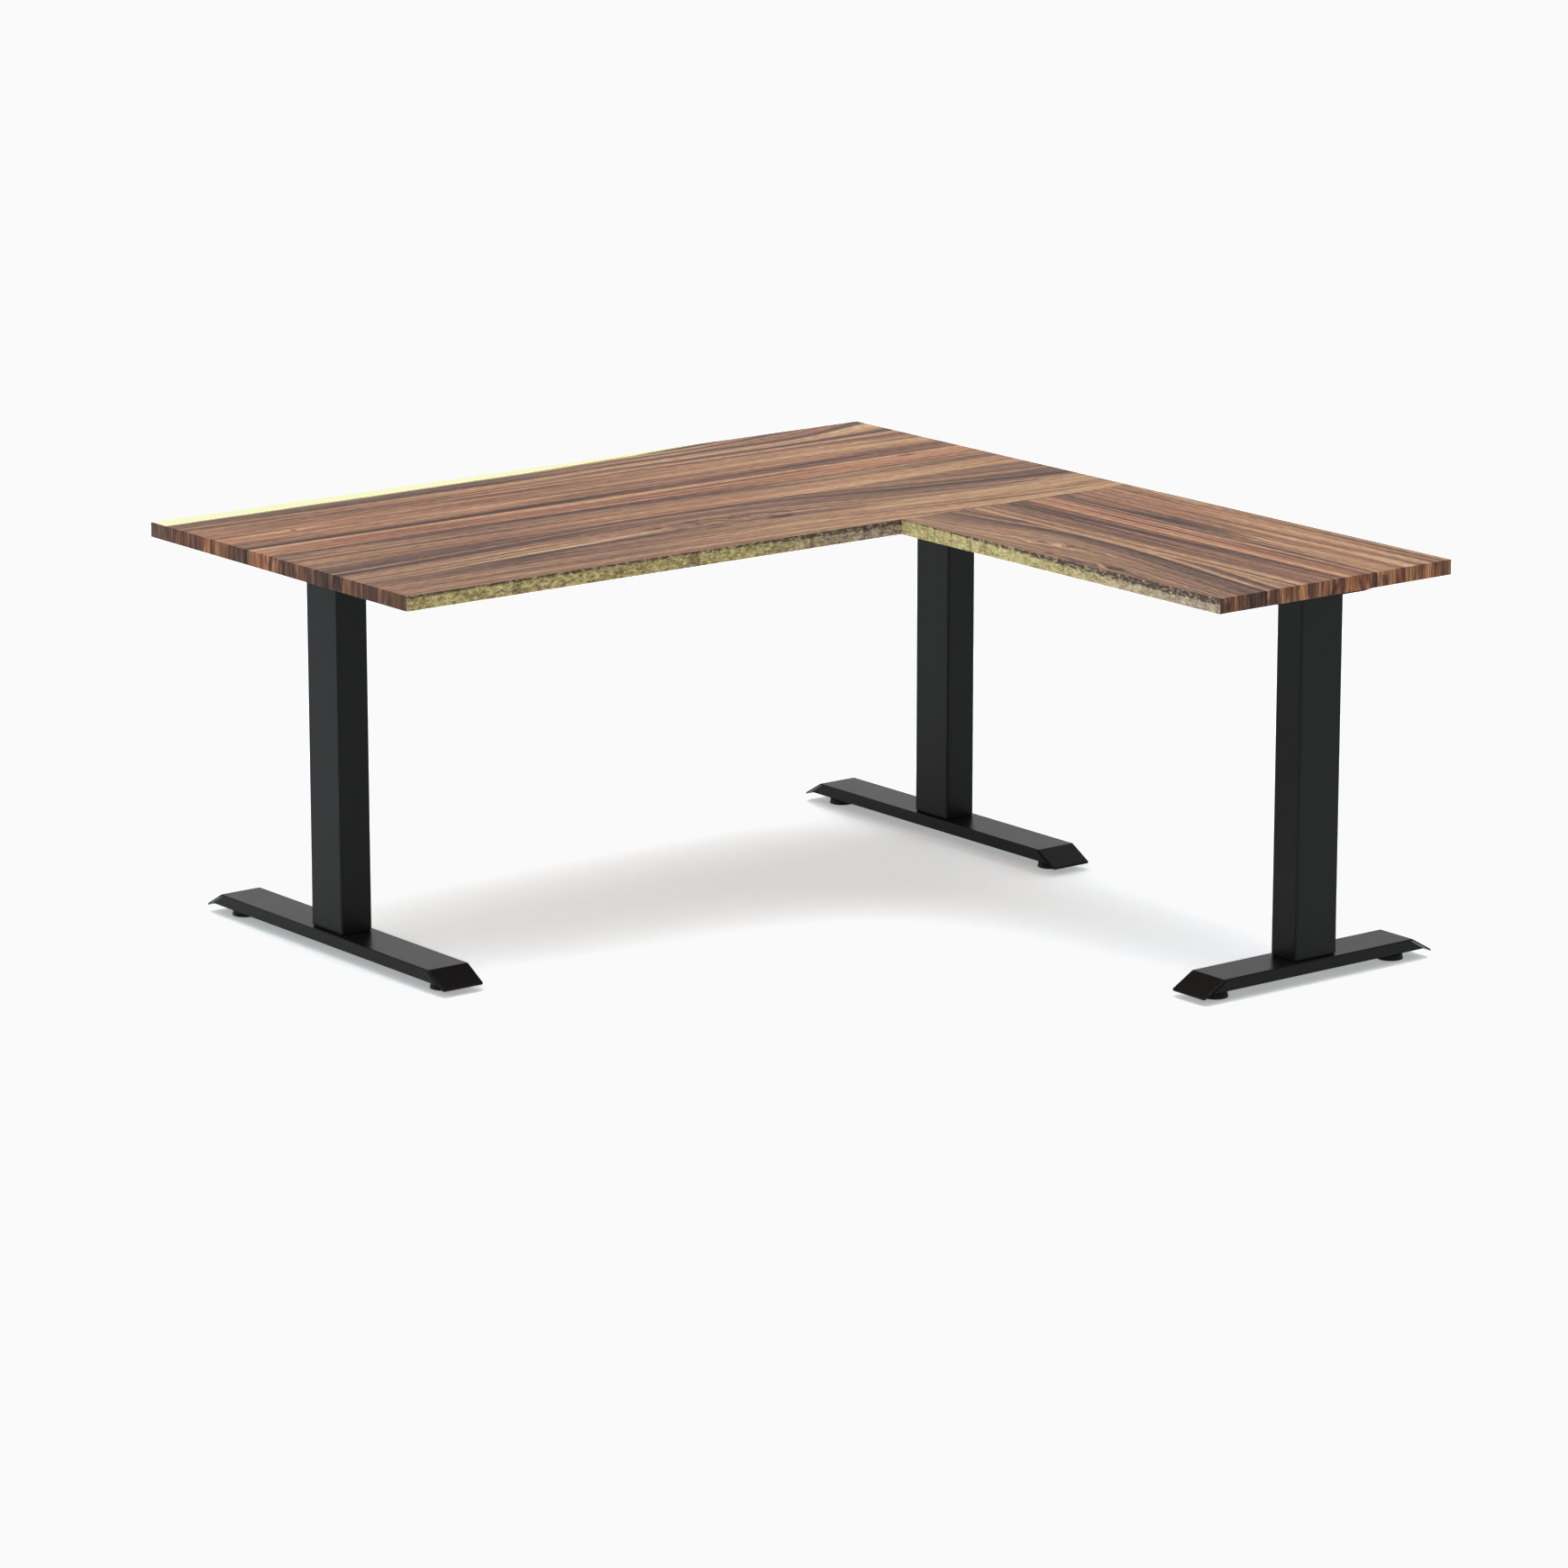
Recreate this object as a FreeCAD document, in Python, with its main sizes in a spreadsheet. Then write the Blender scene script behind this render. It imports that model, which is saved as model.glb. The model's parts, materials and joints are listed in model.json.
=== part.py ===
import FreeCAD, Part
import math
import os
from FreeCAD import Placement, Rotation, Vector
from Sketcher import Constraint

# Corner desk: a main worktop with a return worktop butted against its front edge, on three
# T-legs with levelling feet. Lengths are in millimetres. The origin is on the floor under the
# middle of the desk's outline. +X runs along the main worktop towards the corner leg, +Y towards
# the main worktop's back edge, +Z up. The return worktop reaches towards -Y.

doc = FreeCAD.newDocument("CornerDesk")

# ---------------------------------------------------------------- driving dimensions
DIMENSIONS = {
    "main_length": 1500,
    "main_depth": 750,
    "return_width": 500,
    "return_length": 800,
    "desk_height": 675,
    "top_thickness": 25,
    "top_arris": 0.8,
    "seam_gap": 0.4,
    "left_leg_inset": 114,
    "corner_leg_inset": 102,
    "main_leg_setback": 381,
    "return_leg_inset": 242,
    "return_leg_setback": 71,
    "column_width": 90,
    "column_depth": 60,
    "column_wall": 2,
    "column_corner": 4,
    "column_reveal": 2,
    "base_plate_thickness": 6,
    "cap_plate_thickness": 4,
    "plate_inset": 2.5,
    "foot_height": 38,
    "foot_width": 80,
    "foot_sheet": 3,
    "foot_wall_drop": 20,
    "foot_end_run": 44,
    "foot_end_drop": 25,
    "foot_relief": 4,
    "foot_bend": 5,
    "foot_edge_round": 2.5,
    "foot_tip_round": 4,
    "long_foot_flat": 612,
    "short_foot_flat": 412,
    "stiffener_length": 160,
    "stiffener_thickness": 5,
    "stiffener_play": 0.2,
    "foot_bolt_spread_x": 54,
    "foot_bolt_spread_y": 28,
    "foot_bolt_size": 8,
    "foot_bolt_length": 16,
    "glide_inset": 58,
    "glide_diameter": 44,
    "glide_rim": 1.5,
    "glide_height": 8,
    "glide_taper": 1.5,
    "glide_neck": 20,
    "glide_neck_top": 16.5,
    "stud_diameter": 8,
    "stud_bottom": 6.2,
    "stud_floor_gap": 0.3,
    "stud_top": 34,
    "stud_play": 0.05,
    "boss_diameter": 16,
    "boss_bottom": 17.5,
    "bracket_sheet": 2.5,
    "bracket_play": 0.5,
    "bracket_depth": 13,
    "bracket_end_depth": 5,
    "bracket_full_depth_length": 175,
    "bracket_fold": 2,
    "main_bracket_length": 560,
    "return_bracket_length": 300,
    "cap_screw_spread_x": 60,
    "cap_screw_spread_y": 34,
    "cap_screw_size": 5,
    "cap_screw_length": 14,
    "rail_width": 25,
    "rail_height": 20,
    "rail_wall": 1.5,
    "rail_plate_width": 50,
    "rail_plate_thickness": 4,
    "main_rail_offset": 90,
    "return_rail_offset": 72,
    "rail_bolt_spread": 38,
    "rail_bolt_size": 5,
    "rail_nut_height": 4,
    "rail_bolt_drop": 8,
    "rail_bolt_tail": 1,
    "rail_bore_length": 12,
    "joint_bore_length": 60,
    "seam_plate_width": 60,
    "seam_plate_length": 140,
    "seam_plate_thickness": 3,
    "seam_plate_left_offset": 200,
    "seam_plate_right_offset": 180,
    "seam_screw_margin": 20,
    "wood_screw_size": 5,
    "wood_screw_bite": 15,
    "hole_play": 0.15,
}

sheet = doc.addObject("Spreadsheet::Sheet", "Dims")
for row, (alias, number) in enumerate(DIMENSIONS.items(), start=1):
    sheet.set(f"A{row}", alias.replace("_", " "))
    sheet.set(f"B{row}", str(number))
    sheet.setAlias(f"B{row}", alias)
doc.recompute()


def size(alias):
    """The sheet's number for one driving dimension."""
    return float(sheet.get(alias))


def bind(thing, prop, formula):
    """Tie a property to a formula in which driving dimensions are written as [name]."""
    thing.setExpression(prop, formula.replace("[", "Dims.").replace("]", ""))


nodes = {}


def keep(label, thing):
    """Name a finished sub-part; its label is its file's name."""
    thing.Label = label
    nodes[label] = thing
    return thing


# ---------------------------------------------------------------- modelling helpers
def new_body(name):
    return doc.addObject("PartDesign::Body", name)


def add_sketch(body, role, name):
    """An empty sketch on one of the body's own origin planes."""
    plane = next(item for item in body.Origin.OriginFeatures if item.Role == role)
    sketch = body.newObject("Sketcher::SketchObject", name)
    sketch.AttachmentSupport = [(plane, "")]
    sketch.MapMode = "FlatFace"
    return sketch


def draw_outline(sketch, corners):
    """A closed polygon; each corner is a pair of formulas tied to the sheet."""
    measured = [[evaluate(formula) for formula in corner] for corner in corners]
    count = len(measured)
    for index in range(count):
        start = Vector(*measured[index], 0)
        end = Vector(*measured[(index + 1) % count], 0)
        sketch.addGeometry(Part.LineSegment(start, end), False)
    for index in range(count):
        sketch.addConstraint(Constraint("Coincident", index, 2, (index + 1) % count, 1))
    for index, (across, up) in enumerate(corners):
        for kind, formula, value in zip(("DistanceX", "DistanceY"), (across, up), measured[index]):
            number = sketch.addConstraint(Constraint(kind, index, 1, value))
            sketch.renameConstraint(number, f"{kind}{index}")
            bind(sketch, f"Constraints.{kind}{index}", formula)


def evaluate(formula):
    """The present value of a formula in driving dimensions."""
    return float(sheet.evalExpression(formula.replace("[", "").replace("]", "")))


def pad(body, sketch, length, symmetric=True):
    feature = body.newObject("PartDesign::Pad", sketch.Name + "_pad")
    feature.Profile = sketch
    if symmetric:
        feature.SideType = "Symmetric"
    bind(feature, "Length", length)
    sketch.Visibility = False
    doc.recompute()
    return feature


def pocket(body, sketch, length):
    """A pocket that is symmetric about its sketch, checked to have removed material."""
    before = body.Shape.Volume
    feature = body.newObject("PartDesign::Pocket", sketch.Name + "_pocket")
    feature.Profile = sketch
    feature.SideType = "Symmetric"
    bind(feature, "Length", length)
    doc.recompute()
    if body.Shape.Volume >= before:
        raise RuntimeError(f"{feature.Name} removed nothing")
    return feature


def fillet(body, wanted, radius):
    """Round the edges of the body's last feature for which wanted(edge) is true."""
    base = body.Tip
    names = [f"Edge{i + 1}" for i, edge in enumerate(base.Shape.Edges) if wanted(edge)]
    if not names:
        raise RuntimeError(f"no edge to round on {body.Name}")
    feature = body.newObject("PartDesign::Fillet", base.Name + "_round")
    feature.Base = (base, names)
    bind(feature, "Radius", radius)
    doc.recompute()
    return feature


def box(name, spans):
    """A Part::Box from formulas for its low and high corner along X, Y and Z."""
    made = doc.addObject("Part::Box", name)
    for side, axis, (low, high) in zip(("Length", "Width", "Height"), "xyz", spans):
        bind(made, side, f"({high}) - ({low})")
        bind(made, f"Placement.Base.{axis}", low)
    return made


def rod(name, diameter, low, high):
    """A Part::Cylinder on the Z axis between two heights."""
    made = doc.addObject("Part::Cylinder", name)
    bind(made, "Radius", f"({diameter}) / 2")
    bind(made, "Height", f"({high}) - ({low})")
    bind(made, "Placement.Base.z", low)
    return made


def fuse(name, shapes):
    made = doc.addObject("Part::MultiFuse", name)
    made.Shapes = shapes
    return made


def cut(name, base, tool):
    made = doc.addObject("Part::Cut", name)
    made.Base = base
    made.Tool = tool
    return made


def group(name, solids):
    """Several separate solids in one object, for fasteners and the holes they go through."""
    made = doc.addObject("Part::Feature", name)
    made.Shape = Part.makeCompound(solids)
    return made


def drill(name, base, holes):
    return cut(name, base, group(name + "_holes", holes))


def cylinder(spot, diameter, low, high):
    """A round solid on a vertical axis."""
    return Part.makeCylinder(diameter / 2, high - low, Vector(spot[0], spot[1], low))


def through_hole(spot, diameter):
    """The tool for a vertical hole through anything between the floor and the desk's top."""
    return cylinder(spot, diameter, 0, size("desk_height"))


def along_axis(solid, spot, axis):
    """Turn a solid made along +Z so that it lies along axis, and move it to spot."""
    solid.Placement = Placement(Vector(*spot), Rotation(Vector(0, 0, 1), Vector(*axis)))
    return solid


def hexagon(across_flats, low, high):
    """A hexagonal prism on the Z axis."""
    radius = across_flats / math.sqrt(3)
    ring = [
        Vector(radius * math.cos(math.radians(60 * k)), radius * math.sin(math.radians(60 * k)), low)
        for k in range(7)
    ]
    return Part.Face(Part.makePolygon(ring)).extrude(Vector(0, 0, high - low))


# ---------------------------------------------------------------- shared formulas and places
UNDERSIDE = "([desk_height] - [top_thickness])"
SEAM_Y = "([return_length] - [main_depth]) / 2"
BACK_Y = "([main_depth] + [return_length]) / 2"
MAIN_LEG_Y = f"({BACK_Y} - [main_leg_setback])"
LEFT_LEG_X = "([left_leg_inset] - [main_length] / 2)"
CORNER_LEG_X = "([main_length] / 2 - [corner_leg_inset])"
RETURN_LEG_X = "([main_length] / 2 - [return_leg_inset])"
RETURN_LEG_Y = f"([return_leg_setback] - {BACK_Y})"

LEGS = {
    "left": (LEFT_LEG_X, MAIN_LEG_Y, 90, "[long_foot_flat]", "[main_bracket_length]"),
    "corner": (CORNER_LEG_X, MAIN_LEG_Y, 90, "[long_foot_flat]", "[main_bracket_length]"),
    "return": (RETURN_LEG_X, RETURN_LEG_Y, 0, "[short_foot_flat]", "[return_bracket_length]"),
}

RAILS = ("main_front_rail", "main_rear_rail", "return_left_rail", "return_right_rail")

# Wood screws along a bracket, as shares of the way from its end to its column.
BRACKET_SCREW_SHARES = (0.1, 0.4, 0.68)

# Wood screws along a rail, as shares of its worktop's length from the desk's middle or the seam.
MAIN_RAIL_SCREW_SHARES = (-0.3, -0.13, 0.04, 0.2)
RETURN_RAIL_SCREW_SHARES = (-0.7, -0.35, -0.12, 0.12)


def leg_point(leg, along, across):
    """A point given along and across a leg's foot, in the desk's frame."""
    x_formula, y_formula, turn = LEGS[leg][:3]
    offset = Rotation(Vector(0, 0, 1), turn).multVec(Vector(along, across, 0))
    return evaluate(x_formula) + offset.x, evaluate(y_formula) + offset.y


def stand(label, thing, leg):
    """Place a sub-part that was modelled about the Z axis on its leg, and keep it."""
    x_formula, y_formula, turn = LEGS[leg][:3]
    thing.Placement = Placement(Vector(0, 0, 0), Rotation(Vector(0, 0, 1), turn))
    bind(thing, "Placement.Base.x", x_formula)
    bind(thing, "Placement.Base.y", y_formula)
    return keep(label, thing)


def corners_of(spread_x, spread_y):
    """The four corners of a centred rectangle."""
    return [(sx * spread_x / 2, sy * spread_y / 2) for sx in (-1, 1) for sy in (-1, 1)]


# ---------------------------------------------------------------- fasteners as solids
def wood_screw(spot, seat, length):
    """A pan-head wood screw driven upwards, its head seated at a height."""
    diameter = size("wood_screw_size")
    head = cylinder(spot, 2 * diameter, seat - 0.6 * diameter, seat)
    return head.fuse(cylinder(spot, diameter, seat, seat + length))


def socket_bolt(spot, seat, length):
    """A cap-head bolt driven upwards, with a hexagon socket in its head."""
    diameter = size("foot_bolt_size")
    head = cylinder((0, 0), 1.6 * diameter, -diameter, 0)
    bolt = head.fuse(cylinder((0, 0), diameter, 0, length))
    bolt = bolt.cut(hexagon(0.75 * diameter, -diameter, -diameter / 2))
    return along_axis(bolt, (spot[0], spot[1], seat), (0, 0, 1))


def flat_screw(spot, top, length):
    """A countersunk screw driven downwards, its head flush with a height."""
    diameter = size("cap_screw_size")
    cone_height = size("bracket_sheet")
    cone = Part.makeCone(diameter / 2, diameter, cone_height, Vector(spot[0], spot[1], top - cone_height))
    return cone.fuse(cylinder(spot, diameter, top - length, top - cone_height / 2))


def hex_bolt(spot, axis, length):
    """A hexagon-head bolt; spot is under its head and axis is the way it points."""
    diameter = size("rail_bolt_size")
    bolt = hexagon(1.6 * diameter, -0.7 * diameter, 0).fuse(cylinder((0, 0), diameter, 0, length))
    return along_axis(bolt, spot, axis)


def hex_nut(spot, axis):
    """A hexagon nut whose near face is at spot."""
    diameter = size("rail_bolt_size")
    height = size("rail_nut_height")
    nut = hexagon(1.6 * diameter, 0, height).cut(cylinder((0, 0), diameter, -1, height + 1))
    return along_axis(nut, spot, axis)


def bolt_hole(spot, axis, length):
    """The hole that a rail bolt goes through, from a little before spot."""
    diameter = size("rail_bolt_size") + 2 * size("hole_play")
    return along_axis(cylinder((0, 0), diameter, -1, length), spot, axis)


def rail_end_holes(legs):
    """The holes for the short bolts at the ends of the rails that meet these legs."""
    length = size("rail_bore_length")
    return [bolt_hole(spot, axis, length) for leg in legs for spot, axis in rail_bolts_at(leg)]


def joint_holes():
    """The holes for the long bolts through the main front rail."""
    return [bolt_hole(spot, axis, size("joint_bore_length")) for spot, axis in joint_bolts()]


# ---------------------------------------------------------------- legs
def make_column(leg):
    """A rectangular steel tube, its wide side along the foot."""
    body = new_body(f"{leg}_column_body")
    outer = add_sketch(body, "XY_Plane", f"{leg}_column_outer")
    draw_outline(outer, rectangle("[column_width]", "[column_depth]"))
    top = f"({UNDERSIDE} - [bracket_sheet] - [cap_plate_thickness])"
    length = f"{top} - [foot_height] - [column_reveal]"
    pad(body, outer, length, symmetric=False)
    fillet(body, is_upright, "[column_corner]")
    inner = add_sketch(body, "XY_Plane", f"{leg}_column_inner")
    walls = "2 * [column_wall]"
    draw_outline(inner, rectangle(f"[column_width] - {walls}", f"[column_depth] - {walls}"))
    pocket(body, inner, f"4 * ({length})")
    bind(body, "Placement.Base.z", "[foot_height] + [column_reveal]")
    stand(f"{leg}_column", body, leg)


def rectangle(width, depth):
    """The corners of a centred rectangle, as formulas."""
    return [
        (f"-({width}) / 2", f"-({depth}) / 2"),
        (f"({width}) / 2", f"-({depth}) / 2"),
        (f"({width}) / 2", f"({depth}) / 2"),
        (f"-({width}) / 2", f"({depth}) / 2"),
    ]


def is_upright(edge):
    """Whether an edge is straight and vertical."""
    first, last = edge.Vertexes[0].Point, edge.Vertexes[-1].Point
    return abs(first.x - last.x) < 1e-6 and abs(first.y - last.y) < 1e-6 and abs(first.z - last.z) > 1


def plate_in_column(leg, name, low, high, inset):
    """A plate across the column, as formulas for its heights and its inset."""
    half_x = f"([column_width] / 2 - ({inset}))"
    half_y = f"([column_depth] / 2 - ({inset}))"
    return box(f"{leg}_{name}", [(f"-{half_x}", half_x), (f"-{half_y}", half_y), (low, high)])


def foot_bolt_spots():
    return corners_of(size("foot_bolt_spread_x"), size("foot_bolt_spread_y"))


def foot_bolt_holes():
    """The clearance holes for the foot bolts, through a foot and its stiffener."""
    diameter = size("foot_bolt_size") + 2 * size("hole_play")
    return [through_hole(spot, diameter) for spot in foot_bolt_spots()]


def cap_screw_spots():
    return corners_of(size("cap_screw_spread_x"), size("cap_screw_spread_y"))


def make_base_plate(leg):
    """The plate welded in the column's lower end, tapped for the foot bolts."""
    top = "[foot_height] + [base_plate_thickness]"
    blank = plate_in_column(leg, "base_plate_blank", "[foot_height]", top, "[plate_inset]")
    holes = [through_hole(spot, size("foot_bolt_size")) for spot in foot_bolt_spots()]
    stand(f"{leg}_base_plate", drill(f"{leg}_base_plate_drilled", blank, holes), leg)


def make_cap_plate(leg):
    """The plate welded on the column's upper end, tapped for the bracket's screws."""
    high = f"{UNDERSIDE} - [bracket_sheet]"
    blank = plate_in_column(leg, "cap_plate_blank", f"{high} - [cap_plate_thickness]", high, "0")
    holes = [through_hole(spot, size("cap_screw_size")) for spot in cap_screw_spots()]
    stand(f"{leg}_cap_plate", drill(f"{leg}_cap_plate_drilled", blank, holes), leg)


def foot_profile(flat):
    """Side view of a foot: flat top, sloped end plates and the side walls' lower edge."""
    slope = "hypot([foot_end_run]; [foot_end_drop])"
    tip_x = f"({flat} / 2 + [foot_end_run])"
    tip_z = "([foot_height] - [foot_end_drop])"
    under_x = f"({tip_x} - [foot_sheet] * [foot_end_drop] / {slope})"
    under_z = f"({tip_z} - [foot_sheet] * [foot_end_run] / {slope})"
    bend_x = f"({flat} / 2 - [foot_sheet] * ({slope} - [foot_end_run]) / [foot_end_drop])"
    sheet_z = "([foot_height] - [foot_sheet])"
    wall_x = f"({bend_x} - [foot_relief])"
    wall_z = "([foot_height] - [foot_wall_drop])"
    wall_end_x = f"({wall_x} + ({sheet_z} - {wall_z}) * [foot_end_run] / [foot_end_drop])"
    right = [
        (f"{flat} / 2", "[foot_height]"),
        (tip_x, tip_z),
        (under_x, under_z),
        (bend_x, sheet_z),
        (wall_x, sheet_z),
        (wall_end_x, wall_z),
    ]
    left = [(f"-({across})", up) for across, up in reversed(right)]
    return right + left


def make_foot(leg):
    """A folded channel with open underside and a sloped plate at each end."""
    flat = LEGS[leg][3]
    body = new_body(f"{leg}_foot_body")
    side = add_sketch(body, "XZ_Plane", f"{leg}_foot_side")
    draw_outline(side, foot_profile(flat))
    pad(body, side, "[foot_width]")
    half = evaluate(f"{flat} / 2")
    tip = half + size("foot_end_run")
    top = size("foot_height")
    fillet(body, lambda e: lies_at(e, x=half, z=top), "[foot_bend]")
    fillet(body, lambda e: is_tip_corner(e, tip), "[foot_tip_round]")
    fillet(body, lambda e: is_upper_rim(e, top, half), "[foot_edge_round]")
    hollow = add_sketch(body, "XZ_Plane", f"{leg}_foot_hollow")
    draw_outline(hollow, hollow_profile(flat))
    pocket(body, hollow, "[foot_width] - 2 * [foot_sheet]")
    stand(f"{leg}_foot", drill(f"{leg}_foot_drilled", body, foot_bolt_holes()), leg)


def hollow_profile(flat):
    """Side view of the space between a foot's walls, ending inside the relief slots."""
    _, _, _, (bend_x, sheet_z), _, (wall_end_x, wall_z) = foot_profile(flat)[:6]
    inner_x = f"({bend_x} - [foot_relief] / 2)"
    outer_x = f"({wall_end_x} + [foot_relief] / 2)"
    return [
        (inner_x, sheet_z),
        (outer_x, wall_z),
        (f"-({outer_x})", wall_z),
        (f"-({inner_x})", sheet_z),
    ]


def lies_at(edge, **wanted):
    """Whether an edge's ends and middle all lie at the given |x|, |y| or z."""
    spots = [vertex.Point for vertex in edge.Vertexes] + [edge.CenterOfMass]
    pairs = [(abs(getattr(spot, axis)), value) for spot in spots for axis, value in wanted.items()]
    return all(abs(found - value) < 1e-4 for found, value in pairs)


def is_tip_corner(edge, tip):
    """Whether an edge is the short one through the sheet at a corner of an end plate."""
    middle = edge.CenterOfMass
    short = edge.Length < 1.5 * size("foot_sheet")
    at_tip = abs(middle.x) > tip - size("foot_sheet")
    return short and at_tip and abs(middle.y) > size("foot_width") / 2 - 1e-3


def is_upper_rim(edge, top, half):
    """Whether an edge runs round the upper face of a foot, end plates included."""
    slope = size("foot_end_drop") / size("foot_end_run")
    middle = edge.CenterOfMass
    drop = max(0.0, abs(middle.x) - half) * slope
    beside = abs(middle.y) > size("foot_width") / 2 - size("foot_tip_round")
    beyond = abs(middle.x) > half + size("foot_end_run") / 2
    level = abs(middle.z - (top - drop)) < 1.0
    return (beside or beyond) and level and edge.Length > size("foot_sheet")


def make_stiffener(leg):
    """The plate under the foot's top sheet that spreads the column's load."""
    half_x = "[stiffener_length] / 2"
    half_y = "([foot_width] / 2 - [foot_sheet] - [stiffener_play])"
    high = "([foot_height] - [foot_sheet])"
    spans = [(f"-{half_x}", half_x), (f"-{half_y}", half_y), (f"{high} - [stiffener_thickness]", high)]
    blank = box(f"{leg}_stiffener_blank", spans)
    drilled = drill(f"{leg}_stiffener_drilled", blank, foot_bolt_holes())
    stand(f"{leg}_foot_stiffener", drilled, leg)


# ---------------------------------------------------------------- levelling feet
def glide_spots(leg):
    """The two glide positions under a leg, in the desk's frame."""
    reach = evaluate(f"{LEGS[leg][3]} / 2 + [foot_end_run] - [glide_inset]")
    return [leg_point(leg, -reach, 0), leg_point(leg, reach, 0)]


def make_glide_nuts(leg):
    """The two tapped bosses welded under a foot's top sheet; one node for the pair."""
    bore = size("stud_diameter") + 2 * size("stud_play")
    low, high = size("boss_bottom"), size("foot_height") - size("foot_sheet")
    bosses = [
        cylinder(s, size("boss_diameter"), low, high).cut(cylinder(s, bore, low - 1, high + 1))
        for s in glide_spots(leg)
    ]
    keep(f"{leg}_glide_nuts", group(f"{leg}_glide_nuts", bosses))


def make_glide(name, spot):
    """A levelling foot: a threaded stud and the hexagon-necked pad that it stands on."""
    stud = rod(f"{name}_stud", "[stud_diameter]", "[stud_bottom]", "[stud_top]")
    rim = rod(f"{name}_rim", "[glide_diameter]", "0", "[glide_rim]")
    taper = doc.addObject("Part::Cone", f"{name}_taper")
    bind(taper, "Radius1", "[glide_diameter] / 2")
    bind(taper, "Radius2", "[glide_diameter] / 2 - [glide_taper]")
    bind(taper, "Height", "[glide_height] - [glide_rim]")
    bind(taper, "Placement.Base.z", "[glide_rim]")
    neck = doc.addObject("Part::Prism", f"{name}_neck")
    neck.Polygon = 6
    bind(neck, "Circumradius", "[glide_neck] / 2")
    bind(neck, "Height", "[glide_neck_top] - [glide_height] / 2")
    bind(neck, "Placement.Base.z", "[glide_height] / 2")
    bore_width = "[stud_diameter] + 2 * [stud_play]"
    bore = rod(f"{name}_bore", bore_width, "[stud_bottom] - [stud_floor_gap]", "[glide_neck_top] + 1")
    pad_body = cut(f"{name}_pad", fuse(f"{name}_solid", [rim, taper, neck]), bore)
    for label, thing in ((f"{name}_stud", stud), (f"{name}_pad", pad_body)):
        thing.Placement.Base = Vector(spot[0], spot[1], thing.Placement.Base.z)
        keep(label, thing)


# ---------------------------------------------------------------- frame under the tops
def bracket_profile(length):
    """Side view of a side bracket: full depth over the column, tapering to its ends."""
    end_z = f"({UNDERSIDE} - [bracket_end_depth])"
    deep_z = f"({UNDERSIDE} - [bracket_depth])"
    right = [
        (f"{length} / 2", UNDERSIDE),
        (f"{length} / 2", end_z),
        ("[bracket_full_depth_length] / 2", deep_z),
    ]
    return right + [(f"-({across})", up) for across, up in reversed(right)]


def bracket_screw_spots(leg):
    """Wood-screw places along a bracket, in its own frame."""
    half = evaluate(f"{LEGS[leg][4]} / 2")
    reach = half - size("column_width") / 2
    return [(side * (half - share * reach), 0) for side in (-1, 1) for share in BRACKET_SCREW_SHARES]


def make_bracket(leg):
    """An inverted channel over the column's head that carries the worktop."""
    length = LEGS[leg][4]
    half_inner = "([column_depth] / 2 + [bracket_play])"
    body = new_body(f"{leg}_bracket_body")
    side = add_sketch(body, "XZ_Plane", f"{leg}_bracket_side")
    draw_outline(side, bracket_profile(length))
    pad(body, side, f"2 * ({half_inner} + [bracket_sheet])")
    outer = evaluate(half_inner) + size("bracket_sheet")
    fillet(body, lambda e: lies_at(e, y=outer, z=evaluate(UNDERSIDE)), "[bracket_fold]")
    section = add_sketch(body, "YZ_Plane", f"{leg}_bracket_section")
    low, high = f"{UNDERSIDE} - 2 * [bracket_depth]", f"{UNDERSIDE} - [bracket_sheet]"
    left = f"-{half_inner}"
    draw_outline(section, [(left, low), (half_inner, low), (half_inner, high), (left, high)])
    pocket(body, section, f"2 * {length}")
    under = evaluate(UNDERSIDE)
    screw = size("wood_screw_size") + 2 * size("hole_play")
    holes = [through_hole(spot, screw) for spot in bracket_screw_spots(leg)]
    holes += [flat_screw(spot, under, size("cap_screw_length")) for spot in cap_screw_spots()]
    holes += [local_hole(leg, spot, axis) for spot, axis in rail_bolts_at(leg)]
    stand(f"{leg}_side_bracket", drill(f"{leg}_bracket_drilled", body, holes), leg)


def local_hole(leg, spot, axis):
    """A rail bolt's hole, moved from the desk's frame to a leg's own."""
    x_formula, y_formula, turn = LEGS[leg][:3]
    back = Rotation(Vector(0, 0, 1), -turn)
    moved = back.multVec(Vector(spot[0] - evaluate(x_formula), spot[1] - evaluate(y_formula), spot[2]))
    return bolt_hole(moved, back.multVec(Vector(*axis)), size("rail_bore_length"))


def rail_bolt_height():
    return evaluate(f"{UNDERSIDE} - [rail_bolt_drop]")


def wall_offset():
    """From a leg's centre to the outer face of its bracket's wall."""
    return evaluate("[column_depth] / 2 + [bracket_play] + [bracket_sheet]")


def rail_bolts_at(leg):
    """Where rail bolts start inside a leg's bracket, and the way they point."""
    x, y = evaluate(LEGS[leg][0]), evaluate(LEGS[leg][1])
    inside = wall_offset() - size("bracket_sheet")
    half = size("rail_bolt_spread") / 2
    spots = []
    for side in (-1, 1):
        for step in (-half, half):
            if leg == "return":
                along = side * size("return_rail_offset") + step
                spots.append(((x + along, y + inside, rail_bolt_height()), (0, 1, 0)))
            else:
                along = side * size("main_rail_offset") + step
                inward = 1 if leg == "left" else -1
                spots.append(((x + inward * inside, y + along, rail_bolt_height()), (inward, 0, 0)))
    return spots


def joint_bolts():
    """Where the return rails' long bolts start, in front of the main front rail."""
    x = evaluate(RETURN_LEG_X)
    y = main_rail_y(-1) - size("rail_width") / 2 - size("rail_plate_thickness")
    half = size("rail_bolt_spread") / 2
    steps = [side * size("return_rail_offset") + step for side in (-1, 1) for step in (-half, half)]
    return [((x + step, y, rail_bolt_height()), (0, 1, 0)) for step in steps]


def main_rail_y(side):
    return evaluate(MAIN_LEG_Y) + side * size("main_rail_offset")


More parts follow.
